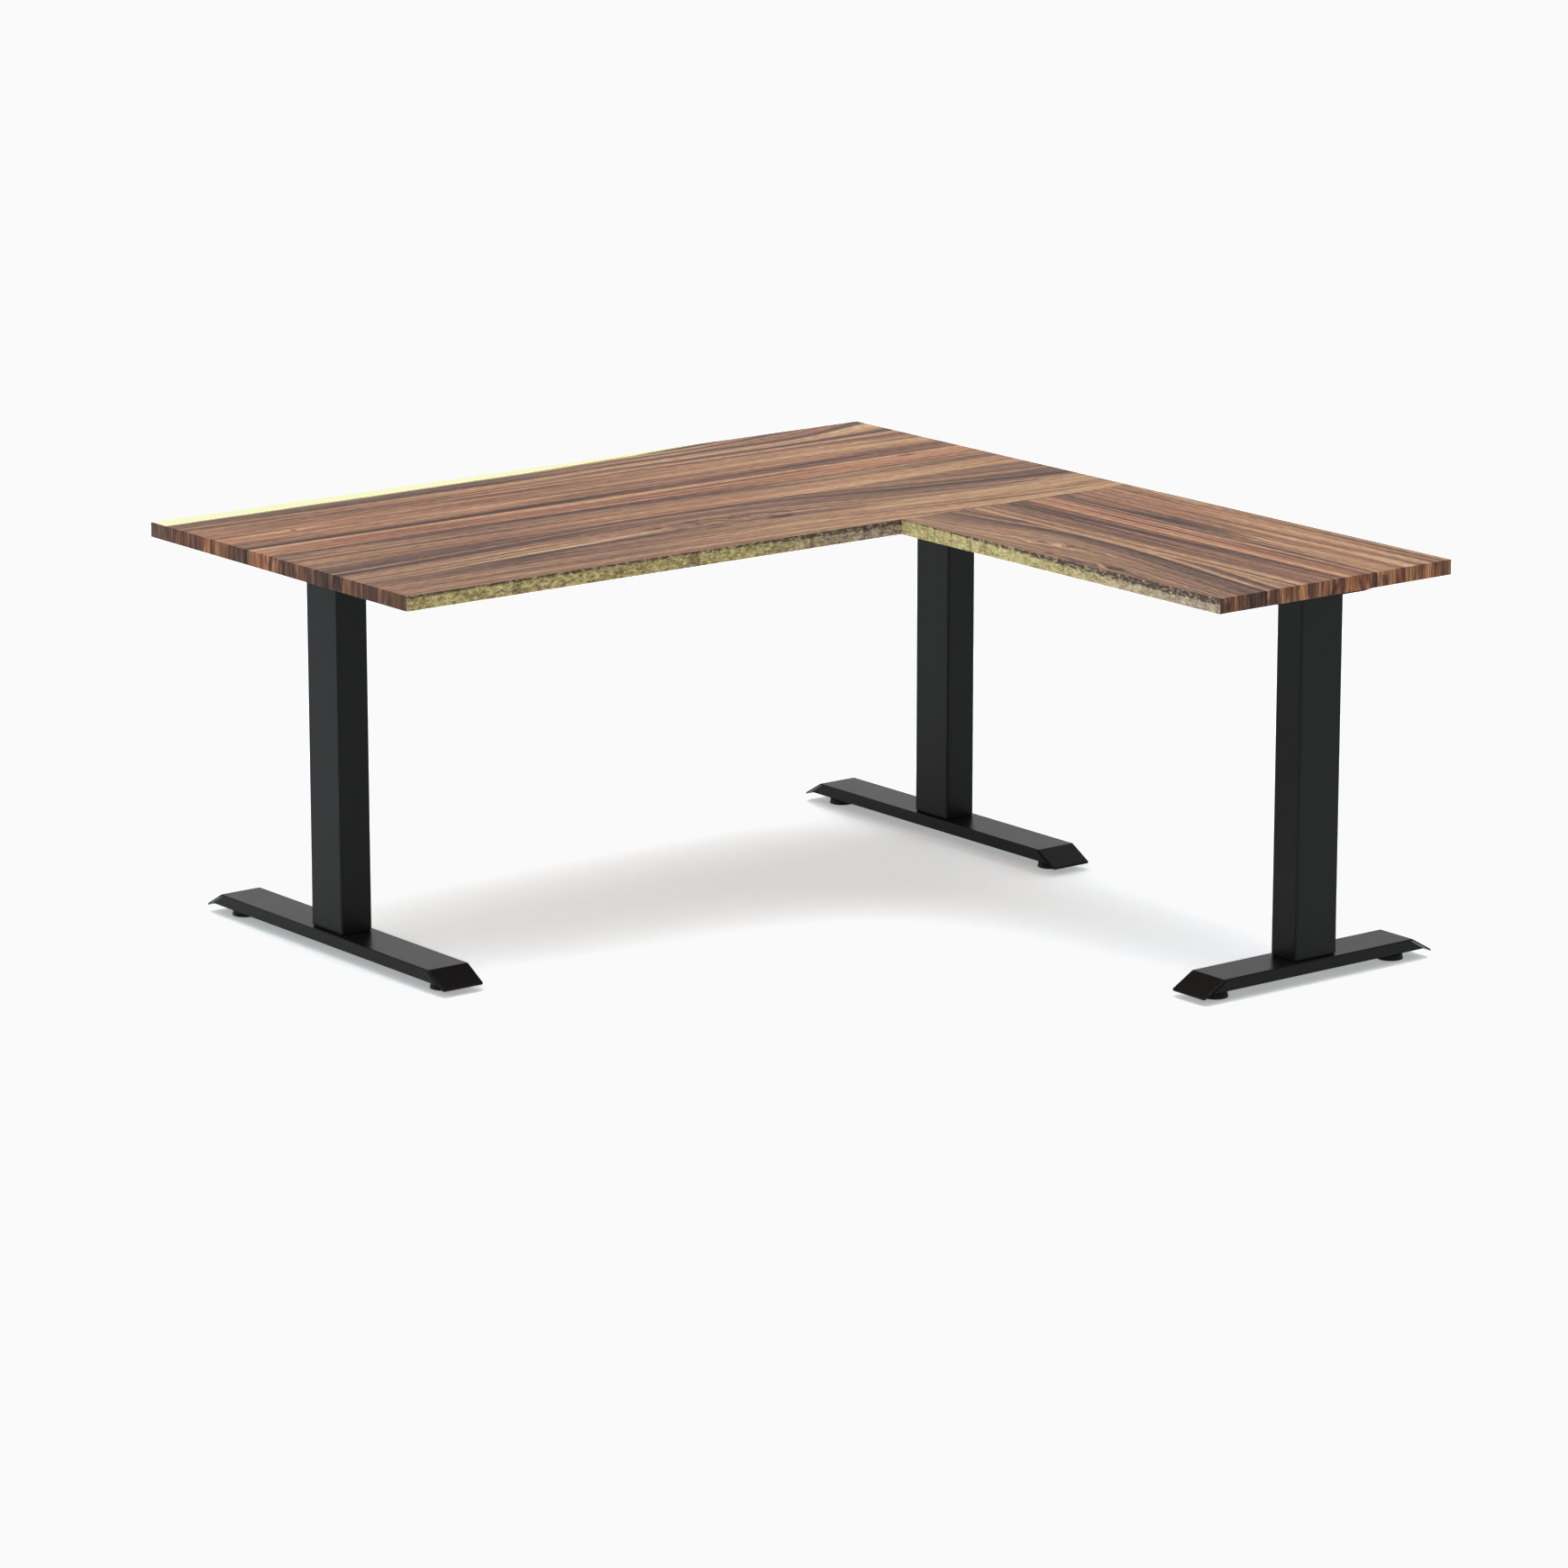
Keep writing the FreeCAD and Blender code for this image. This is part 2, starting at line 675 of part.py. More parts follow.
def tube_rail(name, long_axis, long_span, centre):
    """A rectangular tube with an end plate at each end, in the desk's frame."""
    half = "[rail_width] / 2"
    half_plate = "[rail_plate_width] / 2"
    low = f"{UNDERSIDE} - [rail_height]"
    start, end = long_span
    wall = "[rail_wall]"
    plate = "[rail_plate_thickness]"

    def spans(along, across_half, heights):
        across = (f"{centre} - ({across_half})", f"{centre} + ({across_half})")
        return [along, across, heights] if long_axis == "x" else [across, along, heights]

    outer = box(f"{name}_outer", spans((start, end), half, (low, UNDERSIDE)))
    inside = (f"{low} + {wall}", f"{UNDERSIDE} - {wall}")
    inner = box(f"{name}_inner", spans((start, end), f"{half} - {wall}", inside))
    tube = cut(f"{name}_tube", outer, inner)
    near = box(f"{name}_near_plate", spans((start, f"{start} + {plate}"), half_plate, (low, UNDERSIDE)))
    far = box(f"{name}_far_plate", spans((f"{end} - {plate}", end), half_plate, (low, UNDERSIDE)))
    return fuse(f"{name}_weldment", [tube, near, far])


def rail_screw_spots(name):
    """Where wood screws go up through a rail."""
    if name.startswith("main"):
        side = -1 if "front" in name else 1
        return [(share * size("main_length"), main_rail_y(side)) for share in MAIN_RAIL_SCREW_SHARES]
    side = -1 if "left" in name else 1
    x = evaluate(RETURN_LEG_X) + side * size("return_rail_offset")
    seam = evaluate(SEAM_Y)
    return [(x, seam + share * size("return_length")) for share in RETURN_RAIL_SCREW_SHARES]


def rail_screw_holes(name):
    diameter = size("wood_screw_size") + 2 * size("hole_play")
    return [through_hole(spot, diameter) for spot in rail_screw_spots(name)]


def make_main_rails():
    """The front and rear rails between the left and corner brackets."""
    reach = "([column_depth] / 2 + [bracket_play] + [bracket_sheet])"
    span = (f"{LEFT_LEG_X} + {reach}", f"{CORNER_LEG_X} - {reach}")
    for name, sign in (("main_front_rail", "-"), ("main_rear_rail", "+")):
        rail = tube_rail(name, "x", span, f"({MAIN_LEG_Y} {sign} [main_rail_offset])")
        holes = rail_end_holes(("left", "corner")) + rail_screw_holes(name)
        if "front" in name:
            holes += joint_holes()
        keep(name, drill(f"{name}_drilled", rail, holes))


def make_return_rails():
    """The two rails from the return bracket to the main front rail."""
    start = f"{RETURN_LEG_Y} + [column_depth] / 2 + [bracket_play] + [bracket_sheet]"
    end = f"{MAIN_LEG_Y} - [main_rail_offset] - [rail_width] / 2"
    for name, sign in (("return_left_rail", "-"), ("return_right_rail", "+")):
        rail = tube_rail(name, "y", (start, end), f"({RETURN_LEG_X} {sign} [return_rail_offset])")
        holes = rail_end_holes(("return",)) + joint_holes() + rail_screw_holes(name)
        keep(name, drill(f"{name}_drilled", rail, holes))


def seam_plate_centres():
    """The X positions of the joining plates across the seam."""
    middle = evaluate(RETURN_LEG_X)
    left = middle - size("seam_plate_left_offset")
    right = middle + size("seam_plate_right_offset")
    return {"left": left, "middle": middle, "right": right}


def seam_screw_spots(centre_x):
    spread_x = size("seam_plate_width") / 2
    spread_y = size("seam_plate_length") - 2 * size("seam_screw_margin")
    return [(centre_x + dx, evaluate(SEAM_Y) + dy) for dx, dy in corners_of(spread_x, spread_y)]


def make_seam_plates():
    """Flat steel plates that hold the two worktops level across their seam."""
    half_x, half_y = "[seam_plate_width] / 2", "[seam_plate_length] / 2"
    heights = (f"{UNDERSIDE} - [seam_plate_thickness]", UNDERSIDE)
    diameter = size("wood_screw_size") + 2 * size("hole_play")
    for side, x in seam_plate_centres().items():
        across = (f"{x} - {half_x}", f"{x} + {half_x}")
        along = (f"{SEAM_Y} - {half_y}", f"{SEAM_Y} + {half_y}")
        blank = box(f"seam_plate_{side}_blank", [across, along, heights])
        holes = [through_hole(spot, diameter) for spot in seam_screw_spots(x)]
        keep(f"seam_plate_{side}", drill(f"seam_plate_{side}_drilled", blank, holes))


# ---------------------------------------------------------------- worktops
def pilot_holes():
    """Every wood screw's pilot hole, for both worktops."""
    under = evaluate(UNDERSIDE)
    depth = size("wood_screw_bite") + 0.5
    diameter = size("wood_screw_size") + 2 * size("hole_play")
    spots = [leg_point(leg, *spot) for leg in LEGS for spot in bracket_screw_spots(leg)]
    spots += [spot for name in RAILS for spot in rail_screw_spots(name)]
    spots += [spot for x in seam_plate_centres().values() for spot in seam_screw_spots(x)]
    return [cylinder(spot, diameter, under - 5, under + depth) for spot in spots]


def make_top(label, x_span, y_span):
    """A solid timber worktop with lightly eased edges."""
    body = new_body(f"{label}_body")
    plan = add_sketch(body, "XY_Plane", f"{label}_plan")
    (x0, x1), (y0, y1) = x_span, y_span
    draw_outline(plan, [(x0, y0), (x1, y0), (x1, y1), (x0, y1)])
    pad(body, plan, "[top_thickness]", symmetric=False)
    fillet(body, lambda e: True, "[top_arris]")
    bind(body, "Placement.Base.z", UNDERSIDE)
    keep(label, drill(f"{label}_drilled", body, pilot_holes()))


# ---------------------------------------------------------------- fastener groups
def keep_group(label, solids):
    keep(label, group(label, solids))


def make_leg_fasteners():
    """The bolts under the feet and the screws through the brackets."""
    under = evaluate(UNDERSIDE)
    plate_low = size("foot_height") - size("foot_sheet") - size("stiffener_thickness")
    bolt_length = size("foot_bolt_length")
    spots = [leg_point(leg, *spot) for leg in LEGS for spot in foot_bolt_spots()]
    keep_group("foot_bolts", [socket_bolt(spot, plate_low, bolt_length) for spot in spots])
    screw_length = size("cap_screw_length")
    spots = [leg_point(leg, *spot) for leg in LEGS for spot in cap_screw_spots()]
    keep_group("column_cap_screws", [flat_screw(spot, under, screw_length) for spot in spots])


def make_wood_screws():
    """The screws up into the worktops, through brackets, rails and seam plates."""
    brackets = [leg_point(leg, *spot) for leg in LEGS for spot in bracket_screw_spots(leg)]
    rails = [spot for name in RAILS for spot in rail_screw_spots(name)]
    plates = [spot for x in seam_plate_centres().values() for spot in seam_screw_spots(x)]
    screwed = {
        "bracket_wood_screws": (brackets, size("bracket_sheet")),
        "rail_wood_screws": (rails, size("rail_height")),
        "seam_plate_screws": (plates, size("seam_plate_thickness")),
    }
    for label, (spots, depth) in screwed.items():
        seat = evaluate(UNDERSIDE) - depth
        length = size("wood_screw_bite") + depth
        keep_group(label, [wood_screw(spot, seat, length) for spot in spots])


def make_rail_fasteners():
    """The short bolts at the rails' ends, the long ones at the joint, and their nuts."""
    tail = size("rail_nut_height") + size("rail_bolt_tail")
    plate = size("rail_plate_thickness")
    end_bolts = [pair for leg in LEGS for pair in rail_bolts_at(leg)]
    joins = {
        "rail_end_bolts": (end_bolts, size("bracket_sheet") + plate),
        "rail_joint_bolts": (joint_bolts(), plate + size("rail_width")),
    }
    nuts = []
    for label, (places, grip) in joins.items():
        keep_group(label, [hex_bolt(spot, axis, grip + tail) for spot, axis in places])
        nuts += [hex_nut(Vector(*spot) + Vector(*axis) * grip, axis) for spot, axis in places]
    keep_group("rail_nuts", nuts)


# ---------------------------------------------------------------- the desk
half_length = "[main_length] / 2"
make_top("main_top", (f"-{half_length}", half_length), (SEAM_Y, BACK_Y))
return_x = (f"{half_length} - [return_width]", half_length)
make_top("return_top", return_x, (f"-({BACK_Y})", f"{SEAM_Y} - [seam_gap]"))
for leg_name in LEGS:
    make_column(leg_name)
    make_base_plate(leg_name)
    make_cap_plate(leg_name)
    make_foot(leg_name)
    make_stiffener(leg_name)
    make_glide_nuts(leg_name)
    make_bracket(leg_name)
    ends = ("left", "right") if leg_name == "return" else ("front", "rear")
    for end, spot_on_floor in zip(ends, glide_spots(leg_name)):
        make_glide(f"{leg_name}_{end}_glide", spot_on_floor)
make_main_rails()
make_return_rails()
make_seam_plates()
make_leg_fasteners()
make_wood_screws()
make_rail_fasteners()
doc.recompute()

# ---------------------------------------------------------------- checks and files
for thing in doc.Objects:
    if "Invalid" in thing.State or "Error" in thing.State:
        raise RuntimeError(f"{thing.Name} failed: {thing.State}")
for label, thing in nodes.items():
    if thing.Shape.isNull() or not thing.Shape.isValid():
        raise RuntimeError(f"{label} has no valid shape")

os.makedirs("parts", exist_ok=True)
for label, thing in nodes.items():
    thing.Shape.exportStep(f"parts/{label}.step")
    print(label, len(thing.Shape.Solids), round(thing.Shape.Volume))
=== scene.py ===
import json
import math

import bpy
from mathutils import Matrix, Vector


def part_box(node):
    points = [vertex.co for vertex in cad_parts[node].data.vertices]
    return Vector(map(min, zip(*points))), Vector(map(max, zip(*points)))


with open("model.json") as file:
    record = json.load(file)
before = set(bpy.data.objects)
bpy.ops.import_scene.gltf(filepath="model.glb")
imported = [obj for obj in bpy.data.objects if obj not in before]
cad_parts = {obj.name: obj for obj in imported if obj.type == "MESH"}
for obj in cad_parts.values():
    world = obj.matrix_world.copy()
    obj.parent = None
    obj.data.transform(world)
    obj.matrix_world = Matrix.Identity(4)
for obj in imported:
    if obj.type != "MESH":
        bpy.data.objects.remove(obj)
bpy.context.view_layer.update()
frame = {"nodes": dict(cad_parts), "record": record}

# The corner desk's looks: timber, powder coat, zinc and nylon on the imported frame, with a pale
# floor, soft studio light and the camera. Metres, in the frame's own axes: +X along the main
# worktop, +Y towards its back edge, +Z up.

MAIN_LOW, MAIN_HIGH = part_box("main_top")
RETURN_LOW, RETURN_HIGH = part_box("return_top")
MAIN_WIDTH = MAIN_HIGH.y - MAIN_LOW.y
RETURN_WIDTH = RETURN_HIGH.x - RETURN_LOW.x


# ---------------------------------------------------------------- node graph helper
class Graph:
    """A node tree that is built by short calls; every call returns an output socket."""

    def __init__(self, tree):
        self.tree = tree
        tree.nodes.clear()

    def node(self, kind, **settings):
        made = self.tree.nodes.new(kind)
        for key, value in settings.items():
            setattr(made, key, value)
        return made

    def feed(self, socket, value):
        if isinstance(value, bpy.types.NodeSocket):
            self.tree.links.new(value, socket)
        elif value is not None:
            socket.default_value = value

    def math(self, operation, *values, clamp=False):
        made = self.node("ShaderNodeMath", operation=operation, use_clamp=clamp)
        for socket, value in zip(made.inputs, values):
            self.feed(socket, value)
        return made.outputs[0]

    def add(self, a, b):
        return self.math("ADD", a, b)

    def subtract(self, a, b):
        return self.math("SUBTRACT", a, b)

    def times(self, a, b):
        return self.math("MULTIPLY", a, b)

    def step(self, value, low, high):
        """0 below low, 1 above high and smooth between; low may be above high."""
        made = self.node("ShaderNodeMapRange", interpolation_type="SMOOTHSTEP", clamp=True)
        self.feed(made.inputs["Value"], value)
        if isinstance(low, (int, float)) and isinstance(high, (int, float)) and low > high:
            self.feed(made.inputs["From Min"], high)
            self.feed(made.inputs["From Max"], low)
            return self.subtract(1.0, made.outputs[0])
        self.feed(made.inputs["From Min"], low)
        self.feed(made.inputs["From Max"], high)
        return made.outputs[0]

    def vector(self, x, y, z):
        made = self.node("ShaderNodeCombineXYZ")
        for socket, value in zip(made.inputs, (x, y, z)):
            self.feed(socket, value)
        return made.outputs[0]

    def noise(self, vector, scale=1.0, detail=2.0, roughness=0.5):
        """Smooth noise from 0 to 1, centred on 0.5."""
        made = self.node("ShaderNodeTexNoise")
        self.feed(made.inputs["Vector"], vector)
        self.feed(made.inputs["Scale"], scale)
        self.feed(made.inputs["Detail"], detail)
        self.feed(made.inputs["Roughness"], roughness)
        return made.outputs["Fac"]

    def ramp(self, value, stops, interpolation="LINEAR"):
        """Colour from a list of (position, colour) stops; a plain number is a grey."""
        made = self.node("ShaderNodeValToRGB")
        made.color_ramp.interpolation = interpolation
        elements = made.color_ramp.elements
        elements[0].position = stops[0][0]
        elements[-1].position = stops[-1][0]
        for position, _ in stops[1:-1]:
            elements.new(position)
        for element, (position, colour) in zip(elements, stops):
            grey = isinstance(colour, (int, float))
            element.color = (colour, colour, colour, 1) if grey else (*colour, 1)
        self.feed(made.inputs["Fac"], value)
        return made.outputs["Color"]

    def mix(self, factor, a, b, blend="MIX"):
        """Two colours blended, each a socket or three numbers."""
        made = self.node("ShaderNodeMix", data_type="RGBA", blend_type=blend)
        self.feed(made.inputs["Factor"], factor)
        self.feed(made.inputs["A"], a if isinstance(a, bpy.types.NodeSocket) else (*a, 1))
        self.feed(made.inputs["B"], b if isinstance(b, bpy.types.NodeSocket) else (*b, 1))
        return made.outputs["Result"]

    def position(self):
        """The object's own coordinates as one vector, and as X, Y and Z."""
        source = self.node("ShaderNodeTexCoord").outputs["Object"]
        split = self.node("ShaderNodeSeparateXYZ")
        self.feed(split.inputs[0], source)
        return source, split.outputs

    def surface(self, colour, roughness, height=None, bump=0.0005, strength=1.0, **constants):
        """Finish with a Principled shader; constants go on its own sockets."""
        shader = self.node("ShaderNodeBsdfPrincipled")
        self.feed(shader.inputs["Base Color"], colour)
        self.feed(shader.inputs["Roughness"], roughness)
        for key, value in constants.items():
            self.feed(shader.inputs[key.replace("_", " ")], value)
        if height is not None:
            relief = self.node("ShaderNodeBump")
            self.feed(relief.inputs["Strength"], strength)
            self.feed(relief.inputs["Distance"], bump)
            self.feed(relief.inputs["Height"], height)
            self.tree.links.new(relief.outputs[0], shader.inputs["Normal"])
        output = self.node("ShaderNodeOutputMaterial")
        self.tree.links.new(shader.outputs[0], output.inputs["Surface"])


def new_material(name):
    material = bpy.data.materials.new(name)
    material.use_nodes = True
    return material, Graph(material.node_tree)


def give(material, node):
    """Make one material the only one of a CAD node."""
    mesh = frame["nodes"][node].data
    mesh.materials.clear()
    mesh.materials.append(material)


# ---------------------------------------------------------------- timber
DARK_HEART = (0.032, 0.016, 0.013)
BROWN_STOPS = [
    (0.05, DARK_HEART),
    (0.22, (0.092, 0.042, 0.027)),
    (0.38, (0.170, 0.079, 0.043)),
    (0.52, (0.250, 0.122, 0.063)),
    (0.67, (0.345, 0.182, 0.090)),
    (0.84, (0.480, 0.290, 0.140)),
    (1.00, (0.620, 0.430, 0.235)),
]
RED_STOPS = [
    (0.05, (0.070, 0.024, 0.014)),
    (0.32, (0.195, 0.074, 0.038)),
    (0.52, (0.315, 0.127, 0.059)),
    (0.72, (0.430, 0.205, 0.098)),
    (1.00, (0.640, 0.400, 0.215)),
]
FRESH_SAPWOOD = [
    (0.34, (0.080, 0.046, 0.018)),
    (0.44, (0.250, 0.192, 0.074)),
    (0.53, (0.490, 0.410, 0.178)),
    (0.66, (0.800, 0.705, 0.370)),
]
OLD_SAPWOOD = [
    (0.34, (0.065, 0.038, 0.027)),
    (0.44, (0.215, 0.148, 0.106)),
    (0.54, (0.415, 0.325, 0.236)),
    (0.68, (0.730, 0.630, 0.490)),
]
BARK = (0.050, 0.030, 0.022)
BARK_SEAM = (0.070, 0.040, 0.032)
GROWTH_LAYER = (0.070, 0.037, 0.030)
BACK_SAPWOOD = [
    (0.20, (0.270, 0.210, 0.100)),
    (0.38, (0.480, 0.420, 0.200)),
    (0.62, (0.93, 0.87, 0.52)),
]
DRY_END = (0.32, 0.23, 0.16)
OILED_END = (1.12, 0.97, 0.80)

# Half the blur at a joint between two staves, and the depth that an edge's own look reaches.
JOINT_BLUR = 0.0005
EDGE_SKIN = (0.0016, 0.0004)

# A stave's tone is HEART_TONE and its own shift, and STAVE_OFFSET sets its noise apart from the
# next stave's.
HEART_TONE = 0.515
STAVE_SHIFT = 0.35
STAVE_OFFSET = 23.0
# Streaks that differ from stave to stave: counts per metre along and across the grain, noise
# detail, offset, roughness and weight in the tone.
HEART_STREAKS = [
    (0.6, 16.0, 2.0, 1.0, 0.55, 0.40),
    (0.8, 58.0, 3.0, 5.0, 0.66, 0.80),
    (2.0, 210.0, 3.0, 9.0, 0.72, 0.90),
]
# Veins: counts per metre along and across, width, offset, cover and weight; below 0 is darker.
HEART_VEINS = [
    (0.35, 17.0, 0.036, 31.0, 0.04, -0.26),
    (0.6, 55.0, 0.060, 37.0, 0.05, -0.24),
    (0.4, 32.0, 0.030, 43.0, 0.06, 0.24),
]


class Grain:
    """One worktop's coordinates: u along its grain, v across it, w up from its underside.

    line is v after bending, so a constant line follows one growth layer. seed sets the noise
    apart from the other top's, and flame is 1 in the stave with arched growth lines.
    """

    def __init__(self, graph, along, across, up, seed):
        self.g = graph
        self.u = along
        self.v = across
        self.w = up
        self.seed = seed
        self.flame = 0.0
        slow = self.drift(0.9, 2.5, 1.0)
        quick = self.drift(3.5, 11.0, 4.0)
        self.line = across
        self.bend_by(graph.times(graph.subtract(slow, 0.5), 0.020))
        self.bend_by(graph.times(graph.subtract(quick, 0.5), 0.008))

    def drift(self, along, across, offset):
        """Slow noise over the top, with along and across counts per metre."""
        g = self.g
        place = g.vector(g.times(self.u, along), g.times(self.v, across), self.seed + offset)
        return g.noise(place, detail=2.0)

    def bend_by(self, amount):
        self.line = self.g.add(self.line, amount)

    def inside(self, low, high):
        """1 in the stave that lies between two joints, with sharp sides."""
        g = self.g
        past_low = g.step(self.v, low - JOINT_BLUR, low + JOINT_BLUR)
        before_high = g.step(self.v, high + JOINT_BLUR, high - JOINT_BLUR)
        return g.times(past_low, before_high)

    def flame_stave(self, low, high, arch):
        """Arch the growth lines of one stave, which then takes the top's flames for stripes."""
        self.flame = self.inside(low, high)
        self.bend_by(self.g.times(self.flame, arch))

    def eye(self, spot, reach, pull):
        """Part the growth lines round a spot, as they do round a small knot, and ruffle them."""
        g = self.g
        near = self.near(spot, reach)
        side = g.subtract(self.v, spot[1])
        self.bend_by(g.times(g.times(near, side), -pull))
        wobble = g.subtract(self.drift(14.0, 30.0, 7.0), 0.5)
        self.bend_by(g.times(g.times(near, wobble), 0.030))

    def near(self, spot, reach):
        """1 at a spot, fading to 0 over its reach along and across the grain."""
        g = self.g
        along = g.math("DIVIDE", g.subtract(self.u, spot[0]), reach[0])
        across = g.math("DIVIDE", g.subtract(self.v, spot[1]), reach[1])
        far = g.add(g.times(along, along), g.times(across, across))
        return g.math("POWER", math.e, g.times(far, -1.0))

    def flecks(self, marks):
        """Ragged dark flecks at a few (spot, reach, strength) marks."""
        g = self.g
        total = 0.0
        for spot, reach, strength in marks:
            total = g.add(total, g.times(self.near(spot, reach), strength))
        rough = g.times(self.streaks(22.0, 130.0, 3.0, 91.0, 0.65), 0.5)
        return g.times(g.step(g.add(total, rough), 0.16, 0.34), g.step(total, 0.02, 0.10))

    def streaks(self, along, across, detail, offset, roughness=0.55):
        """Noise drawn out along the grain, with along and across counts per metre."""
        g = self.g
        depth = g.add(g.times(self.w, 7.0), g.add(offset, self.seed))
        place = g.vector(g.times(self.u, along), g.times(self.line, across), depth)
        return g.subtract(g.noise(place, detail=detail, roughness=roughness), 0.5)

    def vein(self, along, across, width, offset, cover):
        """Thin broken lines along the grain: 1 on a line, 0 between lines."""
        g = self.g
        field = g.math("ABSOLUTE", self.streaks(along, across, 2.0, offset, 0.5))
        line = g.step(field, width, width * 0.25)
        breaks = self.streaks(along * 2.0, across * 0.35, 1.0, offset + 5.0)
        return g.times(line, g.step(breaks, cover + 0.05, cover - 0.05))


# A colour ramp holds 32 stops; a stripe takes four, and the ramp's two ends take two.
RAMP_STRIPES = 7


def stripe_height(place, low, high, shift, soft):
    """One stripe's shift at a place across the grain, with straight flanks."""
    rise = (place - low + soft) / (2 * soft)
    fall = (high + soft - place) / (2 * soft)
    return shift * max(0.0, min(1.0, rise, fall))


def banded(grain, width, stripes):
    """The summed shift of (low, high, shift, soft) stripes over the growth lines.

    A ramp holds no value below 0, so 0.5 stands for no shift.
    """
    g = grain.g
    share = g.math("DIVIDE", grain.line, width)
    total = 0.0
    for start in range(0, len(stripes), RAMP_STRIPES):
        group = stripes[start:start + RAMP_STRIPES]
        places = {0.0, width}
        for low, high, _, soft in group:
            places.update((low - soft, low + soft, high - soft, high + soft))
        stops = []
        for place in sorted(places):
            if 0.0 <= place <= width:
                height = sum(stripe_height(place, *stripe) for stripe in group)
                stops.append((place / width, 0.5 + height))
        total = g.add(total, g.subtract(g.ramp(share, stops), 0.5))
    return total


def stripe_shift(grain, width, stripes, far):
    """Stripes as (low, high, shift at the start, shift at the far end, soft).

    far runs from 0 at the start to 1 at the far end, and blends the two.
    """
    g = grain.g
    first = [(low, high, shift, soft) for low, high, shift, _, soft in stripes if shift]
    last = [(low, high, shift, soft) for low, high, _, shift, soft in stripes if shift]
    start = g.times(banded(grain, width, first), g.subtract(1.0, far))
    return g.add(start, g.times(banded(grain, width, last), far))


def heartwood(grain, width, boards, stripes, flames, reds, marks, far):
    """Streaked brown heartwood, as its colour and its tone.

    boards gives each stave's start and shift, stripes the straight staves' shifts in tone,
    flames those of the arched stave, reds the redder stripes and marks the dark flecks.
    """
    g = grain.g
    board = g.subtract(g.ramp(g.math("DIVIDE", grain.v, width), boards, "CONSTANT"), 0.5)
    shuffle = g.times(board, STAVE_OFFSET)
    straight = g.subtract(1.0, grain.flame)
    tone = g.add(HEART_TONE, g.times(board, STAVE_SHIFT))
    for along, across, detail, offset, roughness, weight in HEART_STREAKS:
        streaks = grain.streaks(along, across, detail, g.add(shuffle, offset), roughness)
        tone = g.add(tone, g.times(streaks, weight))
    tone = g.add(tone, g.times(grain.streaks(42.0, 260.0, 2.0, 13.0, 0.60), 0.70))
    tone = g.add(tone, g.times(stripe_shift(grain, width, stripes, far), straight))
    tone = g.add(tone, g.times(stripe_shift(grain, width, flames, far), grain.flame))
    for along, across, thickness, offset, cover, weight in HEART_VEINS:
        tone = g.add(tone, g.times(grain.vein(along, across, thickness, offset, cover), weight))
    tone = g.subtract(tone, g.times(grain.flecks(marks), 0.45))
    warm = g.times(g.step(grain.streaks(0.5, 9.0, 1.0, 51.0), 0.02, 0.16), 0.35)
    striped = g.times(banded(grain, width, reds), g.times(straight, 2.0))
    redness = g.math("ADD", warm, striped, clamp=True)
    colour = g.mix(redness, g.ramp(tone, BROWN_STOPS), g.ramp(tone, RED_STOPS))
    return colour, tone


def pores(grain):
    """Short open pores, drawn out along the grain."""
    g = grain.g
    return g.step(grain.streaks(38.0, 900.0, 1.0, 21.0, 0.5), 0.10, 0.20)


def sapwood_face(grain, age, shade, under_top, bark_depth):
    """A long edge: dashes of fibrous sapwood under a ragged bark line at the upper arris.

    age goes from fresh sapwood at 0 to old at 1, shade lightens it, under_top is the distance
    below the upper face and bark_depth is how far down the bark comes.
    """
    g = grain.g

    def fibres(along, slice_at, height, up, detail, roughness=0.5):
        place = g.vector(g.times(grain.u, along), slice_at, g.times(height, up))
        return g.noise(place, detail=detail, roughness=roughness)

    lean = fibres(34.0, 0.37, grain.w, 20.0, 1.0)
    slant = g.add(grain.w, g.times(g.subtract(lean, 0.5), 0.006))
    dashes = fibres(120.0, 0.43, slant, 250.0, 3.0, 0.62)
    speck = fibres(420.0, 4.57, slant, 560.0, 2.0, 0.6)
    tone = g.add(g.add(g.times(dashes, 0.48), g.times(speck, 0.22)), g.add(shade, 0.15))
    colour = g.mix(age, g.ramp(tone, FRESH_SAPWOOD), g.ramp(tone, OLD_SAPWOOD))
    ragged = fibres(90.0, 8.39, grain.w, 150.0, 4.0, 0.70)
    edge = g.add(bark_depth, g.times(g.subtract(ragged, 0.5), 0.012))
    bark = g.step(g.subtract(edge, under_top), -0.0015, 0.0020)
    flecks = g.step(dashes, 0.60, 0.46)
    colour = g.mix(g.times(bark, g.add(0.50, g.times(flecks, 0.45))), colour, BARK)
    return colour, g.subtract(tone, g.times(bark, 0.3))


def blend_tone(g, mask, inside, outside):
    """One tone where the mask is 1 and the other where it is 0."""
    return g.add(g.times(mask, inside), g.times(g.subtract(1.0, mask), outside))


def finish_timber(grain, colour, tone):
    """Oiled timber: open pores are darker and lower, and pale layers shine a little more."""
    g = grain.g
    pore = pores(grain)
    colour = g.mix(g.times(pore, 0.45), colour, DARK_HEART)
    rough = g.add(0.56, g.times(g.subtract(tone, 0.5), -0.10))
    rough = g.add(rough, g.times(pore, 0.12))
    height = g.subtract(g.times(tone, 0.35), g.times(pore, 0.9))
    g.surface(colour, rough, height, bump=0.0004, strength=0.5, Specular_IOR_Level=0.26)


